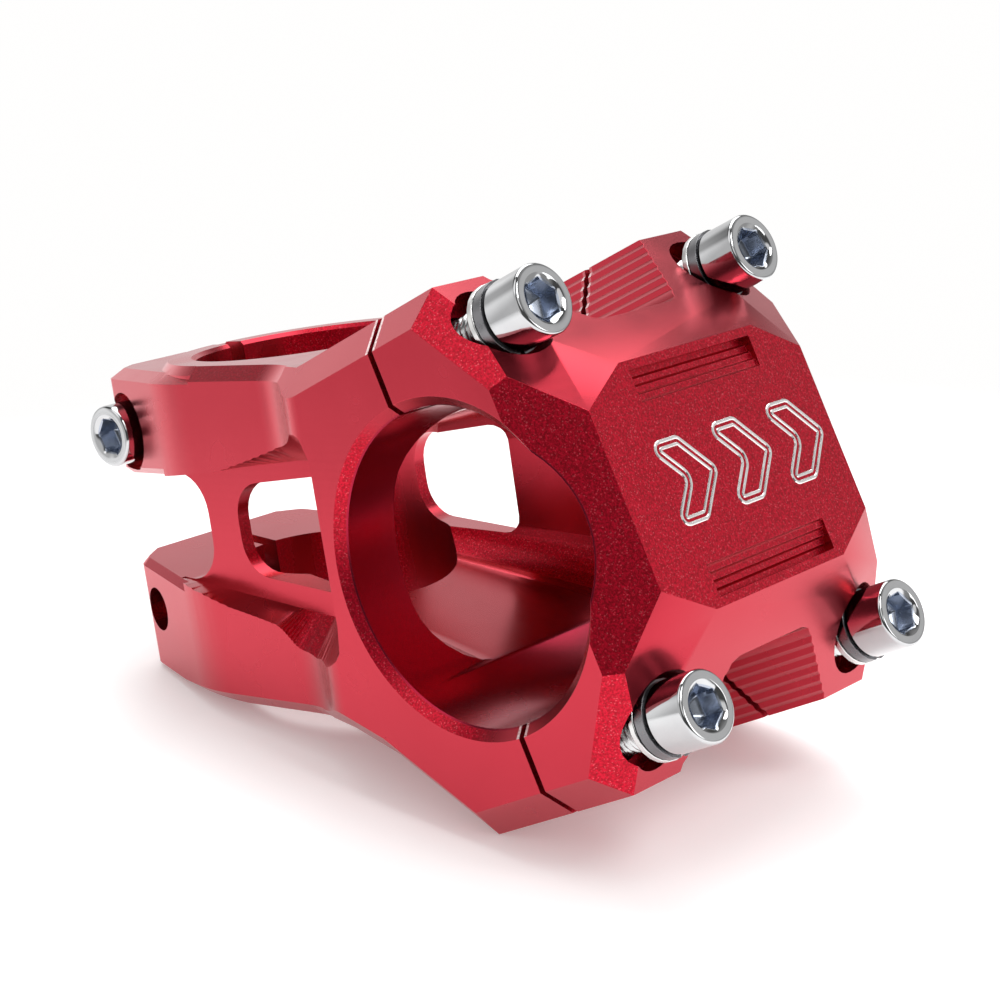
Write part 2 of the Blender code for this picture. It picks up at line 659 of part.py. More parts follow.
def loft(name, first, second, collection):
    """A closed solid between two loops with the same number of points."""
    shape = bmesh.new()
    loops = [[shape.verts.new(point) for point in loop] for loop in (first, second)]
    for i in range(len(first)):
        j = (i + 1) % len(first)
        shape.faces.new((loops[0][i], loops[0][j], loops[1][j], loops[1][i]))
    bmesh.ops.triangulate(shape, faces=shape.faces)
    for loop in loops:
        shape.faces.new(loop)
    bmesh.ops.recalc_face_normals(shape, faces=shape.faces)
    mesh = bpy.data.meshes.new(name)
    shape.to_mesh(mesh)
    shape.free()
    return add_object(name, mesh, collection)


def rear_slit(collection):
    return as_cutter(block("rear_slit", (-40 * MM, -SLIT_HALF, -60 * MM), (-10 * MM, SLIT_HALF, 10 * MM),
                           STEM, collection))


def pinch_places():
    """Name, the side its head is on, and height of each steerer pinch bolt."""
    return [("upper", -1, PINCH_UPPER_Z), ("lower", 1, PINCH_LOWER_Z)]


def pinch_frame(side, height):
    """On a pinch bolt's axis in the middle of the stem, with z pointing towards its head."""
    turn = Matrix.Rotation(-side * pi / 2, 4, "X")
    return Matrix.Translation((PINCH_X, 0, height)) @ turn


def pinch_hole(side, height, collection):
    far = 30 * MM
    profile = [(0, far), (COUNTERBORE_RADIUS + 0.5 * MM, far), (COUNTERBORE_RADIUS + 0.5 * MM, PINCH_SEAT),
               (BOLT_HOLE_RADIUS, PINCH_SEAT), (BOLT_HOLE_RADIUS, -far), (0, -far)]
    return as_cutter(turned("pinch_hole", profile, 32, pinch_frame(side, height), collection))


def stem_body(collection, cutters):
    body = slab("stem_body", side_profile(), -32 * MM, 32 * MM, SIDE_VIEW, collection)
    body.data.transform(SIDE_VIEW)
    body.matrix_world = STEM
    boolean(body, plan_prism(cutters), "INTERSECT")
    boolean(body, bevelled_envelope(cutters), "INTERSECT")
    for side in (-1, 1):
        for wedge in (top_bevel, bottom_bevel, flare_bevel):
            boolean(body, wedge(side, cutters))
    boolean(body, lug_top_cut(cutters))
    boolean(body, rear_cut(cutters))
    for up in (1, -1):
        boolean(body, mouth_bevel(up, cutters))
    holes = [bar_bore(cutters), steerer_bore(cutters), rear_slit(cutters), pocket(cutters), window(cutters)]
    for side in (-1, 1):
        holes.append(web_recess(side, cutters))
    for up in (-1, 1):
        holes.append(notch(up, cutters))
    for _, side, height in pinch_places():
        holes.append(pinch_hole(side, height, cutters))
    for _, side, up in bolt_places():
        holes.append(faceplate_hole(side, up, cutters))
    for hole in holes:
        boolean(body, hole)
    return finish_solid(body)


def faceplate(collection, cutters):
    plate = clamp_block("faceplate", collection)
    cut_plane(plate, (SPLIT_GAP / 2, 0, 0), (-1, 0, 0))
    boolean(plate, bar_bore(cutters))
    for up in (-1, 1):
        boolean(plate, notch(up, cutters))
        boolean(plate, ledge_groove(up, cutters))
    for _, side, up in bolt_places():
        boolean(plate, faceplate_hole(side, up, cutters))
    return finish_solid(plate)


def finish_solid(item):
    weld(item.data, 2 * WELD)
    smooth(item.data)
    return item


# Bolts and washers, each drawn about z with its axis on the bolt's

def bolt(name, head_face, shank, matrix, collection, cutters):
    head_bottom = head_face - HEAD_HEIGHT
    rim = 0.55 * MM
    tip = head_bottom - shank
    profile = [(0, head_face), (HEAD_RADIUS - rim, head_face), (HEAD_RADIUS - rim * 0.3, head_face - rim * 0.3),
               (HEAD_RADIUS, head_face - rim), (HEAD_RADIUS, head_bottom), (THREAD_RADIUS, head_bottom),
               (THREAD_RADIUS, tip + 0.6 * MM), (THREAD_RADIUS - 0.5 * MM, tip), (0, tip)]
    item = turned(name, profile, ROUND_STEPS, matrix, collection)
    socket_radius = SOCKET_ACROSS / sqrt(3)
    hexagon = [(socket_radius * cos(i * pi / 3), socket_radius * sin(i * pi / 3)) for i in range(6)]
    socket = slab("socket", hexagon, head_face - SOCKET_DEPTH, head_face + 1 * MM, matrix, cutters)
    boolean(item, as_cutter(socket))
    return finish_solid(item)


def washer(name, outer, low, high, matrix, collection):
    profile = ring_profile(WASHER_HOLE, outer, low, high)
    return finish_solid(turned(name, profile, ROUND_STEPS, matrix, collection))


def split_washer(name, low, high, matrix, collection, cutters):
    """A lock washer, open at one narrow slanting gap."""
    item = washer(name, LOCK_RADIUS, low, high, matrix, collection)
    gap = block("washer_gap", (1.5 * MM, -0.25 * MM, -3 * MM), (6 * MM, 0.25 * MM, 3 * MM),
                matrix @ Matrix.Translation((0, 0, (low + high) / 2)) @ Matrix.Rotation(radians(35), 4, "X"),
                cutters)
    boolean(item, as_cutter(gap))
    return finish_solid(item)


def bolt_set(prefix, suffix, head_face, shank, matrix, collection, cutters):
    """One bolt with the lock washer and flat washer under its head."""
    lock_high = head_face - HEAD_HEIGHT - STACK_GAP
    lock_low = lock_high - LOCK_THICKNESS
    flat_high = lock_low - STACK_GAP
    flat_low = flat_high - FLAT_THICKNESS
    names = [f"{prefix}_{kind}_{suffix}" for kind in ("bolt", "lock_washer", "flat_washer")]
    return {
        "bolt": bolt(names[0], head_face, shank, matrix, collection, cutters),
        "lock": split_washer(names[1], lock_low, lock_high, matrix, collection, cutters),
        "flat": washer(names[2], FLAT_RADIUS, flat_low, flat_high, matrix, collection),
    }


def pinch_head_face():
    """Height of a snug pinch bolt's head face above the middle of the stem."""
    return PINCH_SEAT + GAP + FLAT_THICKNESS + LOCK_THICKNESS + 2 * STACK_GAP + HEAD_HEIGHT


def stand_on_origin(parts):
    """Parents the stem to an empty that puts the middle of its underside at the world's origin."""
    corners = [item.matrix_world @ vertex.co for item in parts for vertex in item.data.vertices]
    low = Vector([min(corner[axis] for corner in corners) for axis in range(3)])
    high = Vector([max(corner[axis] for corner in corners) for axis in range(3)])
    base = bpy.data.objects.new("stem_base", None)
    parts[0].users_collection[0].objects.link(base)
    base.location = (-(low.x + high.x) / 2, -(low.y + high.y) / 2, -low.z)
    for item in parts:
        item.parent = base


def main():
    clear_scene()
    parts = make_collection("handlebar_stem")
    cutters = make_collection("cutters")
    red = make_material("anodised_red", RED, 0.42, 0.85)
    chrome = make_material("chrome_steel", CHROME, 0.12, 1.0)
    dark = make_material("dark_steel", DARK_STEEL, 0.35, 1.0)
    bright = make_material("bright_steel", BRIGHT_STEEL, 0.25, 1.0)
    pieces = [(stem_body(parts, cutters), red), (faceplate(parts, cutters), red)]
    places = [("faceplate", suffix, FACEPLATE_HEAD_FACE, FACEPLATE_SHANK, bolt_frame(side, up))
              for suffix, side, up in bolt_places()]
    places += [("steerer", suffix, pinch_head_face(), PINCH_SHANK, pinch_frame(side, height))
               for suffix, side, height in pinch_places()]
    sets = [bolt_set(*place, parts, cutters) for place in places]
    for one in sets:
        pieces += [(one["bolt"], chrome), (one["lock"], dark), (one["flat"], bright)]
    for item, material in pieces:
        item.data.materials.clear()
        item.data.materials.append(material)
    stand_on_origin([item for item, _ in pieces])


main()
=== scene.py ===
"""Looks of the handlebar stem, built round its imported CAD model."""

from math import atan2, ceil, cos, pi, radians, sin

import bmesh
import bpy
from mathutils import Matrix, Vector

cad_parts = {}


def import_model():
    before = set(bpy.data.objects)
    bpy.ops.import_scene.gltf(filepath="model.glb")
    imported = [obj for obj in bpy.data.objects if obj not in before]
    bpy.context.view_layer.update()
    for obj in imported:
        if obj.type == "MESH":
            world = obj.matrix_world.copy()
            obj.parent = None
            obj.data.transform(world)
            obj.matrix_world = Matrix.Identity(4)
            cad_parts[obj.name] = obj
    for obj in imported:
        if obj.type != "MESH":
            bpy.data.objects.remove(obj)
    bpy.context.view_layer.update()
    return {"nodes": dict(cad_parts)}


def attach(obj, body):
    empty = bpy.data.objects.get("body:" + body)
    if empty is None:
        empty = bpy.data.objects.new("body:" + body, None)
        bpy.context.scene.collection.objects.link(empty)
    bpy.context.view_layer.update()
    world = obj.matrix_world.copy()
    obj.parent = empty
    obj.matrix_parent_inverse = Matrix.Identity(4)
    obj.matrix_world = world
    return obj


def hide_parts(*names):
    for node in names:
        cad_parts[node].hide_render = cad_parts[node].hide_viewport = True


MM = 0.001

# Frames: the steerer's axis and the top of its clamp meet at STEM's origin, the bar's axis is CLAMP's y
STEM = Matrix.Translation((-23.502 * MM, 0, 52.0393 * MM))
CLAMP = STEM @ Matrix.Translation((45 * MM, 0, -21.42 * MM)) @ Matrix.Rotation(radians(-19), 4, "Y")
TURN_TO_X = Matrix.Rotation(pi / 2, 4, "Y")

# Bolts
BOLT_SPACING = 35.3 * MM
BOLT_ROWS = 43.9 * MM
FACEPLATE_HEAD_FACE = 20.30 * MM
FACEPLATE_SHANK = 17.9 * MM
PINCH_HEAD_FACE = 18.34 * MM
PINCH_SHANK = 21.9 * MM
PINCH_X = -19.8 * MM
PINCH_Z = {"upper": -8.6 * MM, "lower": -31.9 * MM}
HEAD_RADIUS = 3.90 * MM
HEAD_HEIGHT = 5.18 * MM
SOCKET_APOTHEM = 2.05 * MM
SOCKET_DEPTH = 2.75 * MM
THREAD_OUTER = 2.49 * MM
THREAD_DEPTH = 0.42 * MM
THREAD_PITCH = 0.8 * MM
ROUND = 72                  # corners round a screw
SOCKET_LIP = 2.62 * MM
HEAD_ROUNDING = 0.42 * MM
THREAD_ROWS = 8             # to each turn of the thread
TIP_RADIUS = 2.0 * MM
TIP_FLAT = 1.6 * MM
TURNS = {"upper_right": 0.3, "upper_left": 0.75, "lower_right": 0.55, "lower_left": 0.1}
PINCH_TURN = 0.4

# Clamp: front face, bore, and the bare metal beside the split (a painted highlight on the faces that look
# up) and its finer edges
FRONT = 20.56 * MM
BORE_RADIUS = 17.5 * MM
SPLIT_EDGE = 0.75 * MM
SPLIT_ROUNDING = 0.3        # share of the usual edge rounding beside the split

# Edge rounding
WELD_DISTANCE = 0.002 * MM
FLAT_ANGLE = radians(0.6)
EDGE_ANGLE = radians(24)
SCREW_ANGLE = radians(38)
RED_EDGE = 0.22 * MM
LOCK_WASHER_EDGE = 0.12 * MM
FLAT_WASHER_EDGE = 0.1 * MM

# Ornament: arrowheads in double outline
ARROW_STARTS = (-12.2 * MM, -2.6 * MM, 7.0 * MM)
ARROW_HEIGHT, ARROW_POINT, ARROW_ARM = 4.5 * MM, 4.2 * MM, 5.0 * MM
ARROW_ROUNDING = 0.9 * MM
LINE_GAP = 0.72 * MM
OUTER_LINE, INNER_LINE = 0.52 * MM, 0.46 * MM
LINE_FLOOR, LINE_TOP = FRONT - 0.05 * MM, FRONT + 0.09 * MM

# Camera
AZIMUTH = radians(44.77)
ELEVATION = radians(10.48)
ROLL = radians(-8.23)
DISTANCE = 0.27156
SHIFT_RIGHT = 0.02380
SHIFT_UP = -0.02000
FOCAL = 2177.84            # in picture widths of 1000

# Light panels as seen by reflections: direction to the camera's side, top and back, the cosines where
# each one starts and is full, and its strength
PANELS = (
    (-1.0, -0.05, 0.35, 0.70, 0.88, 0.62),
    (-0.8, 0.02, -0.6, 0.72, 0.90, 0.52),
    (-0.84, -0.12, -0.53, 0.972, 0.996, 0.8),
    (-0.1, 0.22, -1.0, 0.60, 0.88, 0.80),
    (0.95, 0.10, -0.25, 0.77, 0.90, 0.35),
    (0.9, 0.55, 0.1, 0.80, 0.93, 0.24),
    (0.9, -0.38, 0.3, 0.86, 0.97, 0.25),
    (-0.54, 0.71, 0.45, 0.88, 0.98, 1.3),
    (0.25, 0.45, 1.0, 0.93, 0.97, 0.90),
)
DIM_STUDIO = 0.09           # reflected between the panels
DIFFUSE_SKY = 0.78
CAMERA_SKY = 1.0

# Floor
FLOOR_TILT = radians(10.5)
FLOOR_RADIUS = 0.2
FLOOR_FADE = (0.10, 0.195)
FOOT = (42.15 * MM, 0, -52.2 * MM)


# Node helpers

def new_material(name):
    material = bpy.data.materials.new(name)
    material.use_nodes = True
    nodes = material.node_tree.nodes
    return material, nodes, material.node_tree.links, nodes["Principled BSDF"]


def math_node(nodes, links, operation, a, b=None):
    node = nodes.new("ShaderNodeMath")
    node.operation = operation
    for socket, value in zip(node.inputs, (a, b)):
        if value is None:
            continue
        if isinstance(value, (int, float)):
            socket.default_value = value
        else:
            links.new(value, socket)
    return node.outputs[0]


def map_range(nodes, links, value, low, high, to_low, to_high):
    node = nodes.new("ShaderNodeMapRange")
    node.interpolation_type = "SMOOTHSTEP"
    links.new(value, node.inputs["Value"])
    for socket, number in zip(("From Min", "From Max", "To Min", "To Max"), (low, high, to_low, to_high)):
        node.inputs[socket].default_value = number
    return node.outputs["Result"]


def noise(nodes, links, coordinates, scale, detail=2.0, roughness=0.5):
    node = nodes.new("ShaderNodeTexNoise")
    node.inputs["Scale"].default_value = scale
    node.inputs["Detail"].default_value = detail
    node.inputs["Roughness"].default_value = roughness
    links.new(coordinates, node.inputs["Vector"])
    return node.outputs["Fac"]


def dot(nodes, links, vector, direction):
    node = nodes.new("ShaderNodeVectorMath")
    node.operation = "DOT_PRODUCT"
    links.new(vector, node.inputs[0])
    node.inputs[1].default_value = direction
    return node.outputs["Value"]


def mix_colour(nodes, links, factor, low, high):
    node = nodes.new("ShaderNodeMix")
    node.data_type = "RGBA"
    links.new(factor, node.inputs["Factor"])
    for socket, value in ((node.inputs[6], low), (node.inputs[7], high)):
        if isinstance(value, tuple):
            socket.default_value = (*value, 1)
        else:
            links.new(value, socket)
    return node.outputs[2]


# Materials

def anodised():
    """Red anodised aluminium: machined on the sides and in the bores, fine-blasted on the front facets, with
    bare metal where the clamp was split after anodising, painted bright as a highlight only on the faces
    that look up, and with painted shade, a darker crimson, inside the bar bore."""
    material, nodes, links, shader = new_material("anodised_red")
    place = nodes.new("ShaderNodeTexCoord").outputs["Object"]
    geometry = nodes.new("ShaderNodeNewGeometry")
    normal = geometry.outputs["Normal"]

    forward = CLAMP.to_3x3() @ Vector((1, 0, 0))
    facing = dot(nodes, links, normal, forward)
    sideways = math_node(nodes, links, "ABSOLUTE", dot(nodes, links, normal, (0, 1, 0)))
    flank = math_node(nodes, links, "MULTIPLY", map_range(nodes, links, facing, 0.12, 0.3, 0, 1),
                      map_range(nodes, links, sideways, 0.38, 0.5, 0, 1))
    blasted = math_node(nodes, links, "MAXIMUM", flank, map_range(nodes, links, facing, 0.9, 0.96, 0, 1))

    # but not in the bore
    above = CLAMP.to_3x3() @ Vector((0, 0, 1))
    along, height = (math_node(nodes, links, "SUBTRACT", dot(nodes, links, place, axis),
                               axis.dot(CLAMP.translation)) for axis in (forward, above))
    squares = [math_node(nodes, links, "MULTIPLY", one, one) for one in (along, height)]
    reach = math_node(nodes, links, "SQRT", math_node(nodes, links, "ADD", *squares))
    outside = map_range(nodes, links, reach, BORE_RADIUS + 0.1 * MM, BORE_RADIUS + 0.2 * MM, 0, 1)
    blasted = math_node(nodes, links, "MULTIPLY", blasted, outside)

    # bare metal beside the split, with a painted highlight: it is painted bright only on the faces that look
    # up
    off = math_node(nodes, links, "ABSOLUTE", along)
    beside = map_range(nodes, links, off, SPLIT_EDGE, SPLIT_EDGE + 0.12 * MM, 1, 0)
    upward = dot(nodes, links, normal, above)
    bare_metal_and_highlight = math_node(nodes, links, "MULTIPLY", beside, map_range(nodes, links, upward, 0.25, 0.5, 0, 1))
    fleck = noise(nodes, links, place, 1 / (0.3 * MM), 2)
    bare_metal_and_highlight = math_node(nodes, links, "MULTIPLY", bare_metal_and_highlight, map_range(nodes, links, fleck, 0.36, 0.5, 0.35, 1))

    cells = nodes.new("ShaderNodeTexVoronoi")
    cells.inputs["Scale"].default_value = 1 / (0.13 * MM)
    links.new(place, cells.inputs["Vector"])
    split = nodes.new("ShaderNodeSeparateColor")
    links.new(cells.outputs["Color"], split.inputs[0])
    glint = map_range(nodes, links, split.outputs[0], 0.9, 1.0, 0, 1)

    cloud = noise(nodes, links, place, 90, 3)
    grain = noise(nodes, links, place, 1 / (0.26 * MM), 3, 0.65)

    deep = mix_colour(nodes, links, map_range(nodes, links, grain, 0.35, 0.65, 0, 1),
                      (0.36, 0.001, 0.012), (0.68, 0.004, 0.030))
    light = mix_colour(nodes, links, cloud, (0.46, 0.018, 0.036), (0.53, 0.026, 0.049))
    colour = mix_colour(nodes, links, blasted, light, deep)
    # painted shade: inside the bar bore the colour is a flat darker crimson
    colour = mix_colour(nodes, links, outside, (0.38, 0.006, 0.034), colour)
    sparkle = math_node(nodes, links, "MULTIPLY", glint, blasted)
    sparkle = math_node(nodes, links, "MULTIPLY", sparkle, 0.45)
    colour = mix_colour(nodes, links, sparkle, colour, (0.95, 0.16, 0.2))
    # painted highlight: the bare metal beside the split is bright only where the faces look up
    colour = mix_colour(nodes, links, bare_metal_and_highlight, colour, (0.98, 0.78, 0.78))
    links.new(colour, shader.inputs["Base Color"])

    shader.inputs["Metallic"].default_value = 0.95
    smooth = map_range(nodes, links, cloud, 0.3, 0.7, 0.22, 0.28)
    rough = math_node(nodes, links, "MULTIPLY", grain, 0.16)
    rough = math_node(nodes, links, "ADD", rough, 0.30)
    step = nodes.new("ShaderNodeMix")
    links.new(blasted, step.inputs["Factor"])
    links.new(smooth, step.inputs[2])
    links.new(rough, step.inputs[3])
    links.new(step.outputs[0], shader.inputs["Roughness"])
    shader.inputs["Coat Weight"].default_value = 0.2
    shader.inputs["Coat Roughness"].default_value = 0.3
    shader.inputs["Coat IOR"].default_value = 1.6

    # faint tooling marks on the machined faces, and a blasted grain in front
    wave = nodes.new("ShaderNodeTexWave")
    wave.wave_type = "BANDS"
    wave.bands_direction = "Z"
    wave.inputs["Scale"].default_value = 1 / (0.5 * MM) / 6.283
    wave.inputs["Distortion"].default_value = 0.6
    links.new(place, wave.inputs["Vector"])
    marks = nodes.new("ShaderNodeBump")
    marks.inputs["Strength"].default_value = 0.05
    marks.inputs["Distance"].default_value = 0.02 * MM
    links.new(wave.outputs["Fac"], marks.inputs["Height"])
    blast = nodes.new("ShaderNodeBump")
    blast.inputs["Distance"].default_value = 0.05 * MM
    links.new(math_node(nodes, links, "MULTIPLY", blasted, 0.7), blast.inputs["Strength"])
    links.new(grain, blast.inputs["Height"])
    links.new(marks.outputs["Normal"], blast.inputs["Normal"])
    links.new(blast.outputs["Normal"], shader.inputs["Normal"])
    return material


def steel(name, dark, light, low, high, scale, bump):
    """Plated or plain steel with slightly uneven brightness, gloss and fine marks."""
    material, nodes, links, shader = new_material(name)
    place = nodes.new("ShaderNodeTexCoord").outputs["Object"]
    cloud = noise(nodes, links, place, scale, 4, 0.6)
    links.new(mix_colour(nodes, links, cloud, dark, light), shader.inputs["Base Color"])
    shader.inputs["Metallic"].default_value = 1.0
    links.new(map_range(nodes, links, cloud, 0.3, 0.7, low, high), shader.inputs["Roughness"])
    ripple = nodes.new("ShaderNodeBump")
    ripple.inputs["Strength"].default_value = bump
    ripple.inputs["Distance"].default_value = 0.02 * MM
    links.new(noise(nodes, links, place, scale * 5, 3), ripple.inputs["Height"])
    links.new(ripple.outputs["Normal"], shader.inputs["Normal"])
    return material


# Mesh helpers

def add_mesh(name, shape, matrix, body, materials):
    """shape becomes a piece at matrix, riding on that body."""
    bmesh.ops.recalc_face_normals(shape, faces=shape.faces)
    mesh = bpy.data.meshes.new(name)
    shape.to_mesh(mesh)
    shape.free()
    mesh.transform(matrix)
    for material in materials:
        mesh.materials.append(material)
    item = bpy.data.objects.new(name, mesh)
    bpy.context.scene.collection.objects.link(item)
    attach(item, body)
    return item


def shade_by_angle(item, angle):
    """Smooth shading, with edges sharper than the angle left sharp."""
    shape = bmesh.new()
    shape.from_mesh(item.data)
    for face in shape.faces:
        face.smooth = True
    for edge in shape.edges:
        edge.smooth = len(edge.link_faces) == 2 and edge.calc_face_angle(0) < angle
    shape.to_mesh(item.data)
    shape.free()


def smooth_group(angle):
    """Geometry nodes that shade smooth up to the angle, and weigh the sharper edges for the bevel."""
    group = bpy.data.node_groups.new("smooth_by_angle", "GeometryNodeTree")
    group.interface.new_socket("Geometry", in_out="INPUT", socket_type="NodeSocketGeometry")
    group.interface.new_socket("Geometry", in_out="OUTPUT", socket_type="NodeSocketGeometry")
    start, end = group.nodes.new("NodeGroupInput"), group.nodes.new("NodeGroupOutput")
    faces, edges = (group.nodes.new("GeometryNodeSetShadeSmooth") for _ in range(2))
    faces.domain, edges.domain = "FACE", "EDGE"
    bend = group.nodes.new("GeometryNodeInputMeshEdgeAngle")
    below = group.nodes.new("FunctionNodeCompare")
    below.operation = "LESS_THAN"
    below.inputs[1].default_value = angle
    group.links.new(bend.outputs["Unsigned Angle"], below.inputs[0])
    group.links.new(below.outputs[0], edges.inputs["Shade Smooth"])
    group.links.new(start.outputs[0], faces.inputs["Geometry"])
    group.links.new(faces.outputs[0], edges.inputs["Geometry"])

    # how much of each edge is rounded: all of it, but little beside the split
    forward = CLAMP.to_3x3() @ Vector((1, 0, 0))
    place = group.nodes.new("GeometryNodeInputPosition").outputs[0]
    along = dot(group.nodes, group.links, place, forward)
    along = math_node(group.nodes, group.links, "SUBTRACT", along, forward.dot(CLAMP.translation))
    off = math_node(group.nodes, group.links, "ABSOLUTE", along)
    share = map_range(group.nodes, group.links, off, 0.5 * MM, 0.6 * MM, SPLIT_ROUNDING, 1)
    sharp = math_node(group.nodes, group.links, "GREATER_THAN", bend.outputs["Unsigned Angle"], angle)
    weight = group.nodes.new("GeometryNodeStoreNamedAttribute")
    weight.data_type, weight.domain = "FLOAT", "EDGE"
    weight.inputs["Name"].default_value = "bevel_weight_edge"
    group.links.new(math_node(group.nodes, group.links, "MULTIPLY", share, sharp), weight.inputs["Value"])
    group.links.new(edges.outputs[0], weight.inputs["Geometry"])
    group.links.new(weight.outputs[0], end.inputs[0])
    return group


def soften(item, width):
    """Rounds a CAD node's edges with modifiers; its own mesh stays as it is."""
    weld = item.modifiers.new("weld", "WELD")
    weld.merge_threshold = WELD_DISTANCE
    flat = item.modifiers.new("flat", "DECIMATE")
    flat.decimate_type = "DISSOLVE"
    flat.angle_limit = FLAT_ANGLE
    smooth = item.modifiers.new("smooth", "NODES")
    smooth.node_group = smooth_group(EDGE_ANGLE)
    bevel = item.modifiers.new("edge", "BEVEL")
    bevel.width = width
    bevel.segments = 2
    bevel.limit_method = "WEIGHT"
    bevel.use_clamp_overlap = True
    weights = item.modifiers.new("weights", "WEIGHTED_NORMAL")
    weights.keep_sharp = True


# Bolts

def ring(shape, radius_at, height):
    points = [2 * pi * i / ROUND for i in range(ROUND)]
    return [shape.verts.new((radius_at(a) * cos(a), radius_at(a) * sin(a), height)) for a in points]


def bridge(shape, lower, upper, material=0):
    for i in range(ROUND):
        j = (i + 1) % ROUND
        shape.faces.new((lower[i], lower[j], upper[j], upper[i])).material_index = material


def hex_radius(angle):
    sector = (angle + pi / 6) % (pi / 3) - pi / 6
    return SOCKET_APOTHEM / cos(sector)


def thread_radius(angle, height, root):
    """Radius of a right-handed thread at this place, rounded at its crest and root."""
    phase = (height / THREAD_PITCH + angle / (2 * pi)) % 1
    ridge = min(1, max(0, 1.25 * (1 - abs(2 * phase - 1)) - 0.1))
    return root + (THREAD_OUTER - root) * ridge


def bolt(name, node, matrix, shank, turn, materials):
    """Socket head cap screw; z points out of the head, whose face is at z 0."""
    shape = bmesh.new()
    rings = []
    for scale, z in ((0.35, -SOCKET_DEPTH - 0.9 * MM), (0.8, -SOCKET_DEPTH - 0.25 * MM),
                     (0.97, -SOCKET_DEPTH), (1.0, -SOCKET_DEPTH + 0.15 * MM), (1.0, -0.45 * MM)):
        rings.append((ring(shape, lambda a, s=scale: s * hex_radius(a), z), 1))
    lip, corner = SOCKET_LIP, HEAD_ROUNDING
    rings.append((ring(shape, lambda a: lip * 0.35 + hex_radius(a) * 0.65, -0.28 * MM), 1))
    outline = [(lip, -0.12 * MM), (lip + 0.16 * MM, -0.02 * MM), (lip + 0.24 * MM, 0),
               (HEAD_RADIUS - corner - 0.1 * MM, 0)]
    for step in range(1, 7):
        a = step / 6 * pi / 2
        outline.append((HEAD_RADIUS - corner + corner * sin(a), corner * (cos(a) - 1)))
    base = -HEAD_HEIGHT
    outline += [(HEAD_RADIUS, base + 0.3 * MM), (HEAD_RADIUS - 0.22 * MM, base + 0.06 * MM),
                (HEAD_RADIUS - 0.4 * MM, base), (THREAD_OUTER + 0.15 * MM, base),
                (THREAD_OUTER, base - 0.12 * MM)]
    for radius, z in outline:
        rings.append((ring(shape, lambda a, r=radius: r, z), 0))
    rows = ceil((shank - 1.0 * MM) / (THREAD_PITCH / THREAD_ROWS))
    for row in range(rows + 1):
        z = base - 0.3 * MM - (shank - 1.0 * MM) * row / rows
        left = base - shank - z
        root = THREAD_OUTER - THREAD_DEPTH * min(1, row / THREAD_ROWS)
        fade = min(1, -left / (1.1 * MM))
        rings.append((ring(shape, lambda a, z=z, q=root, f=fade:
                           thread_radius(a, z, q) * f + TIP_RADIUS * (1 - f), z), 2))
    rings.append((ring(shape, lambda a: TIP_FLAT, base - shank), 2))
    for (lower, _), (upper, material) in zip(rings, rings[1:]):
        bridge(shape, lower, upper, material)
    for loop, z in ((rings[0][0], -SOCKET_DEPTH - 1.05 * MM), (rings[-1][0], base - shank)):
        middle = shape.verts.new((0, 0, z))
        for i in range(ROUND):
            face = shape.faces.new((loop[i], loop[(i + 1) % ROUND], middle))
            face.material_index = 1 if loop is rings[0][0] else 2
    item = add_mesh(name, shape, matrix @ Matrix.Rotation(turn, 4, "Z"), node, materials)
    shade_by_angle(item, SCREW_ANGLE)
    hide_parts(node)


# Ornament

def outline_of(corners, radius, steps=5):
    """A closed outline with each corner rounded."""
    points = []
    count = len(corners)
    for i, corner in enumerate(corners):
        here = Vector(corner)
        before = (Vector(corners[i - 1]) - here).normalized()
        after = (Vector(corners[(i + 1) % count]) - here).normalized()
        half = before.angle(after) / 2
        reach = radius / sin(half) * cos(half)
        middle = here + (before + after).normalized() * radius / sin(half)
        start, end = here + before * reach - middle, here + after * reach - middle
        first = atan2(start.y, start.x)
        sweep = atan2(end.y, end.x) - first
        sweep = (sweep + pi) % (2 * pi) - pi
        for step in range(steps + 1):
            angle = first + sweep * step / steps
            points.append(middle + radius * Vector((cos(angle), sin(angle))))
    return points


def grown(points, distance):
    """The closed outline moved outwards by the distance."""
    count = len(points)
    moved = []
    for i, point in enumerate(points):
        along = (points[(i + 1) % count] - points[i - 1]).normalized()
        moved.append(point + Vector((along.y, -along.x)) * distance)
    return moved


def engraved_line(shape, points, width, floor, top):
    """A raised-edged band that follows a closed outline, with its two long edges chamfered."""
    edge = width * 0.3
    section = ((-width / 2, floor), (-width / 2 + edge, top), (width / 2 - edge, top), (width / 2, floor))
    loops = [[shape.verts.new((z, p.x, p.y)) for p in grown(points, offset)] for offset, z in section]
    count = len(points)
    for k in range(len(loops)):
        a, b = loops[k], loops[(k + 1) % len(loops)]
        for i in range(count):
            j = (i + 1) % count
            shape.faces.new((a[i], a[j], b[j], b[i]))


def badge(materials):
    """A plain ornament on the front face of the faceplate."""
    shape = bmesh.new()
    height, point, arm = ARROW_HEIGHT, ARROW_POINT, ARROW_ARM
    for start in ARROW_STARTS:
        corners = [(start, -height), (start + arm, -height), (start + arm + point, 0),
                   (start + arm, height), (start, height), (start + point, 0)]
        outer = outline_of(corners, ARROW_ROUNDING)
        engraved_line(shape, outer, OUTER_LINE, LINE_FLOOR, LINE_TOP)
        engraved_line(shape, grown(outer, -LINE_GAP), INNER_LINE, LINE_FLOOR, LINE_TOP)
    add_mesh("front_ornament", shape, CLAMP, "faceplate", materials)


# Studio

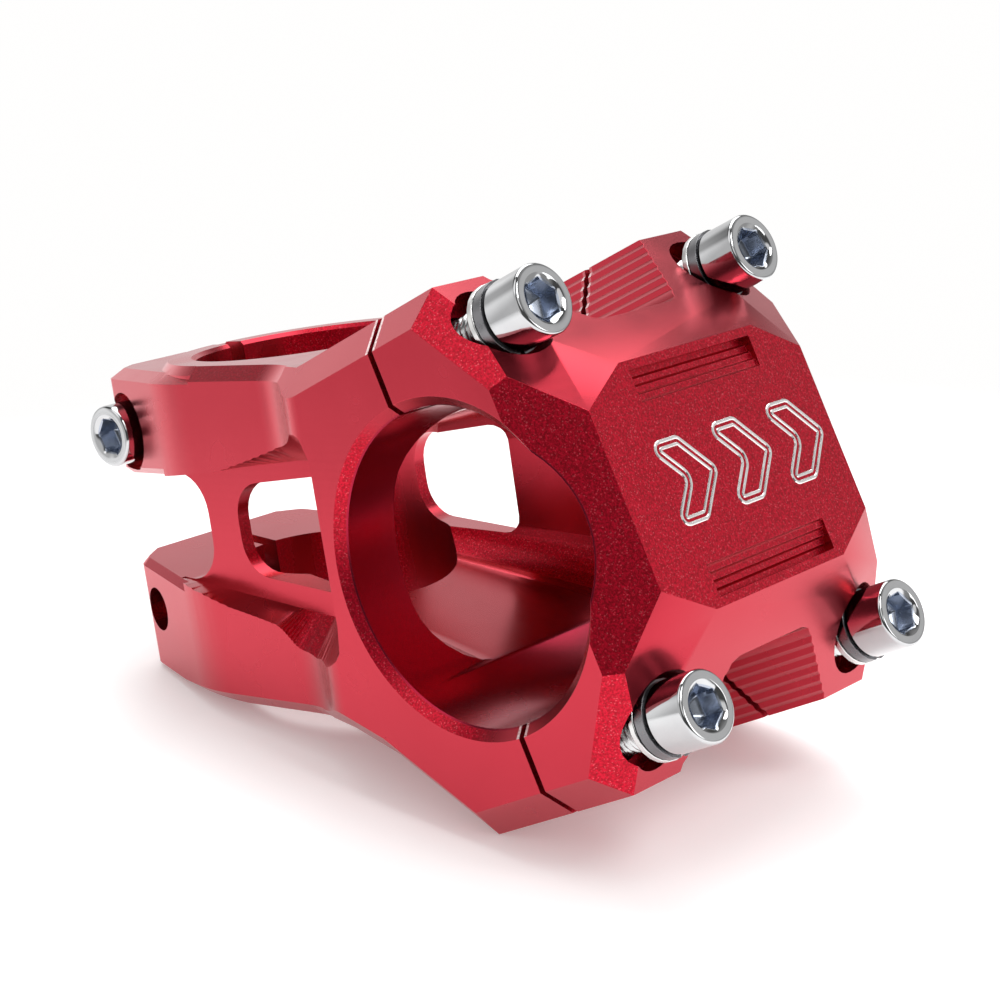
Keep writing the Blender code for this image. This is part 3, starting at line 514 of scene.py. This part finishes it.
def camera():
    back = Vector((sin(AZIMUTH) * cos(ELEVATION), -cos(AZIMUTH) * cos(ELEVATION), sin(ELEVATION)))
    right = Vector((cos(AZIMUTH), sin(AZIMUTH), 0))
    up = back.cross(right)
    side = cos(ROLL) * right + sin(ROLL) * up
    top = cos(ROLL) * up - sin(ROLL) * right
    place = side * SHIFT_RIGHT + top * SHIFT_UP + back * DISTANCE + STEM.translation
    data = bpy.data.cameras.new("camera")
    data.sensor_width = 36
    data.lens = FOCAL * 36 / 1000
    data.clip_start = 0.01
    data.clip_end = 20
    item = bpy.data.objects.new("camera", data)
    item.matrix_world = Matrix((
        (side.x, top.x, back.x, place.x), (side.y, top.y, back.y, place.y),
        (side.z, top.z, back.z, place.z), (0, 0, 0, 1)))
    bpy.context.scene.collection.objects.link(item)
    bpy.context.scene.camera = item
    return side, top, back


def world(side, top, back):
    """White to the eye; in reflections a dim studio with soft light panels round the stem."""
    item = bpy.data.worlds.new("studio")
    bpy.context.scene.world = item
    item.use_nodes = True
    nodes, links = item.node_tree.nodes, item.node_tree.links
    shader = nodes["Background"]
    direction = nodes.new("ShaderNodeTexCoord").outputs["Generated"]
    strength = DIM_STUDIO
    for x, y, z, start, full, glow in PANELS:
        facing = dot(nodes, links, direction, (x * side + y * top + z * back).normalized())
        lobe = map_range(nodes, links, facing, start, full, 0, glow)
        strength = math_node(nodes, links, "ADD", lobe, strength)
    path = nodes.new("ShaderNodeLightPath")
    for ray, value in (("Is Diffuse Ray", DIFFUSE_SKY), ("Is Camera Ray", CAMERA_SKY)):
        choice = nodes.new("ShaderNodeMix")
        links.new(path.outputs[ray], choice.inputs["Factor"])
        links.new(strength, choice.inputs[2])
        choice.inputs[3].default_value = value
        strength = choice.outputs[0]
    links.new(strength, shader.inputs["Strength"])
    shader.inputs["Color"].default_value = (1, 0.995, 0.99, 1)


def lamp(name, place, target, size, energy):
    data = bpy.data.lights.new(name, "AREA")
    data.size = size
    data.energy = energy
    item = bpy.data.objects.new(name, data)
    item.location = place
    item.rotation_euler = (Vector(place) - Vector(target)).to_track_quat("Z", "Y").to_euler()
    bpy.context.scene.collection.objects.link(item)


def floor():
    """A pale round floor under the stem as it stands on the clamp's foot and the lower lug."""
    shape = bmesh.new()
    bmesh.ops.create_circle(shape, cap_ends=True, segments=96, radius=FLOOR_RADIUS)
    mesh = bpy.data.meshes.new("floor")
    shape.to_mesh(mesh)
    shape.free()
    item = bpy.data.objects.new("floor", mesh)
    foot = STEM @ Vector(FOOT)
    item.matrix_world = Matrix.Translation(foot) @ Matrix.Rotation(FLOOR_TILT, 4, "Y")
    bpy.context.scene.collection.objects.link(item)
    material, nodes, links, shader = new_material("pale_floor")
    place = nodes.new("ShaderNodeTexCoord").outputs["Object"]
    cloud = noise(nodes, links, place, 14, 4)
    pale = mix_colour(nodes, links, cloud, (0.88, 0.88, 0.88), (0.94, 0.94, 0.94))
    links.new(pale, shader.inputs["Base Color"])
    shader.inputs["Roughness"].default_value = 0.75
    shader.inputs["Specular IOR Level"].default_value = 0.2
    # painted light: the floor glows faintly and evenly, lifting the shadows on it
    shader.inputs["Emission Color"].default_value = (1, 0.985, 0.98, 1)
    shader.inputs["Emission Strength"].default_value = 0.2
    length = nodes.new("ShaderNodeVectorMath")
    length.operation = "LENGTH"
    links.new(place, length.inputs[0])
    fade = map_range(nodes, links, length.outputs["Value"], *FLOOR_FADE, 1, 0)
    links.new(fade, shader.inputs["Alpha"])
    item.data.materials.append(material)


def main():
    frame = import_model()
    nodes = frame["nodes"]

    red = anodised()
    chrome = steel("chrome", (0.50, 0.505, 0.52), (0.64, 0.645, 0.65), 0.05, 0.11, 240, 0.03)
    socket = steel("chrome_socket", (0.34, 0.38, 0.46), (0.50, 0.54, 0.62), 0.18, 0.3, 300, 0.08)
    thread = steel("chrome_thread", (0.55, 0.55, 0.56), (0.72, 0.72, 0.72), 0.16, 0.3, 300, 0.1)
    dark = steel("dark_steel", (0.15, 0.15, 0.16), (0.28, 0.28, 0.29), 0.2, 0.34, 300, 0.1)
    bright = steel("bright_steel", (0.62, 0.62, 0.62), (0.80, 0.80, 0.79), 0.16, 0.28, 300, 0.08)
    line = steel("bright_line", (0.80, 0.79, 0.78), (0.95, 0.94, 0.93), 0.2, 0.32, 300, 0.05)

    for name, node in nodes.items():
        node.data.materials.clear()
        if name in ("stem_body", "faceplate"):
            node.data.materials.append(red)
            soften(node, RED_EDGE)
        elif "lock" in name:
            node.data.materials.append(dark)
            soften(node, LOCK_WASHER_EDGE)
        elif "flat" in name:
            node.data.materials.append(bright)
            soften(node, FLAT_WASHER_EDGE)

    screws = [chrome, socket, thread]
    for row, up in (("upper", 1), ("lower", -1)):
        for hand, side in (("right", -1), ("left", 1)):
            suffix = f"{row}_{hand}"
            place = Matrix.Translation((FACEPLATE_HEAD_FACE, side * BOLT_SPACING / 2, up * BOLT_ROWS / 2))
            bolt(f"cap_screw_{suffix}", f"faceplate_bolt_{suffix}",
                 CLAMP @ place @ TURN_TO_X, FACEPLATE_SHANK, TURNS[suffix], screws)
    for row, side in (("upper", -1), ("lower", 1)):
        place = Matrix.Translation((PINCH_X, side * PINCH_HEAD_FACE, PINCH_Z[row]))
        bolt(f"pinch_screw_{row}", f"steerer_bolt_{row}",
             STEM @ place @ Matrix.Rotation(-side * pi / 2, 4, "X"), PINCH_SHANK, PINCH_TURN, screws)
    badge([line])

    bpy.context.scene.view_settings.view_transform = "Standard"
    side, top, back = camera()
    world(side, top, back)
    centre = STEM @ Vector((20 * MM, 0, -22 * MM))
    lamp("key", centre + side * 0.02 + top * 0.8 - back * 0.12, centre, 0.7, 4.4)
    beside = centre + side * 0.05 - top * 0.03
    lamp("fill", centre + side * 0.36 + top * 0.04 + back * 0.2, beside, 0.15, 0.18)
    lamp("front", centre + side * 0.4 + top * 0.6 + back * 0.55, centre, 0.3, 2.2)
    floor()


main()
